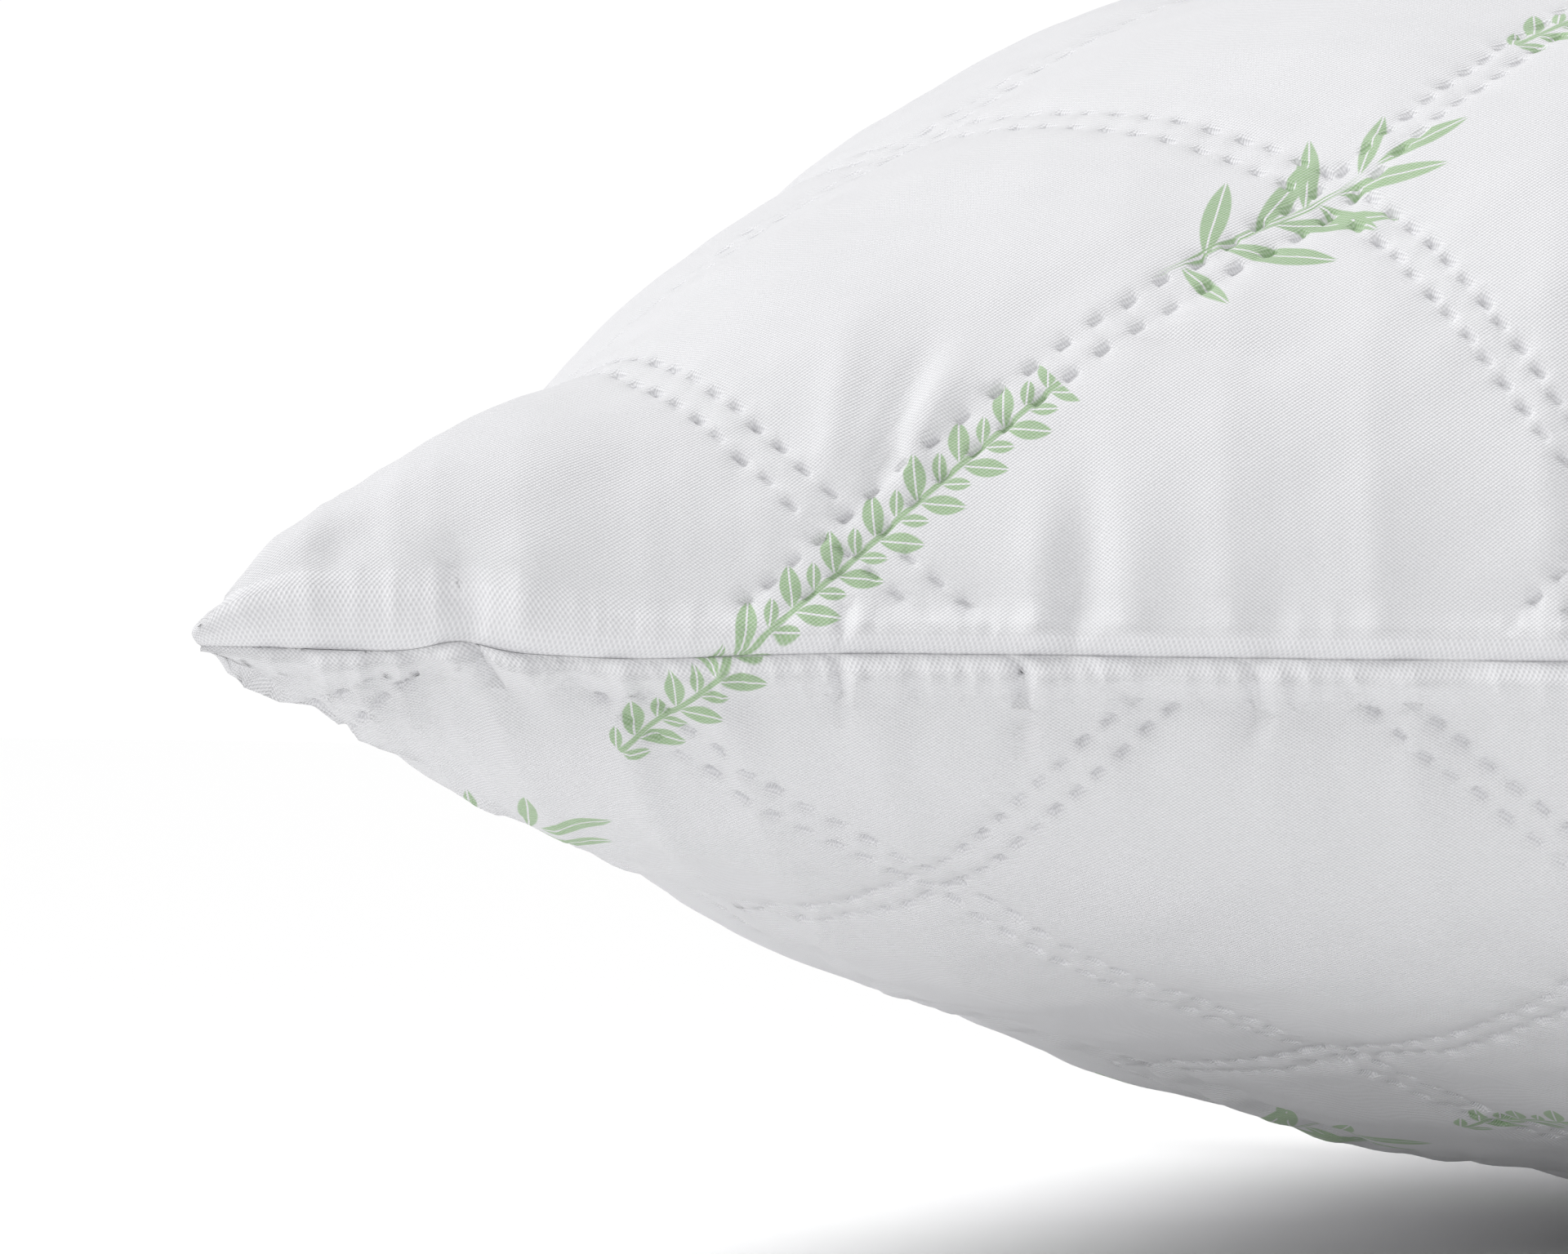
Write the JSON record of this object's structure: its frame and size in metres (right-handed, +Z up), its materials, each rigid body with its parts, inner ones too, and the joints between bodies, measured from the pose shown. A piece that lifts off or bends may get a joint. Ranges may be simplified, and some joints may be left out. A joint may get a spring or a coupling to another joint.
{
  "type": "bed pillow",
  "caption": "Plump rectangular bed pillow with a quilted zip-off case, an inner bag and loose filling; it cushions the head and neck.",
  "frame": {"origin": "under the middle of the pillow, on the surface it lies on", "axes": "+X along the length towards the zip end, +Y across the width, +Z up"},
  "size_m": [0.682, 0.478, 0.194],
  "materials": {
    "case_cloth": "plain-weave microfibre, soft sheen",
    "wadding": "fluffy polyester",
    "backing_cloth": "non-woven, matt",
    "sewing_thread": "twisted polyester",
    "liner_cloth": "knitted, matt",
    "loose_filling": "loose and fluffy",
    "zip_tape": "woven tape",
    "zip_coil": "smooth nylon",
    "zip_metal": "plated, satin"
  },
  "bodies": {
    "pillow": {"top_face": "case_cloth", "top_wadding": "wadding", "top_backing": "backing_cloth", "bottom_face": "case_cloth", "bottom_wadding": "wadding", "bottom_backing": "backing_cloth", "seam_allowance_top": "case_cloth", "seam_allowance_bottom": "case_cloth", "seam_thread": "sewing_thread", "overlock_thread": "sewing_thread", "liner_top": "liner_cloth", "liner_bottom": "liner_cloth", "liner_seam_thread": "sewing_thread", "filling": "loose_filling", "zip_tape_top": "zip_tape", "zip_tape_bottom": "zip_tape", "zip_coil_top": "zip_coil", "zip_coil_bottom": "zip_coil", "zip_stop_front": "zip_metal", "zip_stop_back": "zip_metal"},
    "slider": {"zip_slider": "zip_metal"},
    "pull": {"zip_pull": "zip_metal"}
  },
  "joints": [
    {"name": "slider_run", "type": "slide", "parent": "pillow", "child": "slider", "axis": [0, 1, 0], "range_m": [0, 0.3433]},
    {"name": "pull_swing", "type": "hinge", "parent": "slider", "child": "pull", "pos_m": [0.32815, -0.17165, 0.08], "axis": [0, 0, -1], "range_deg": [0, 180]}
  ]
}
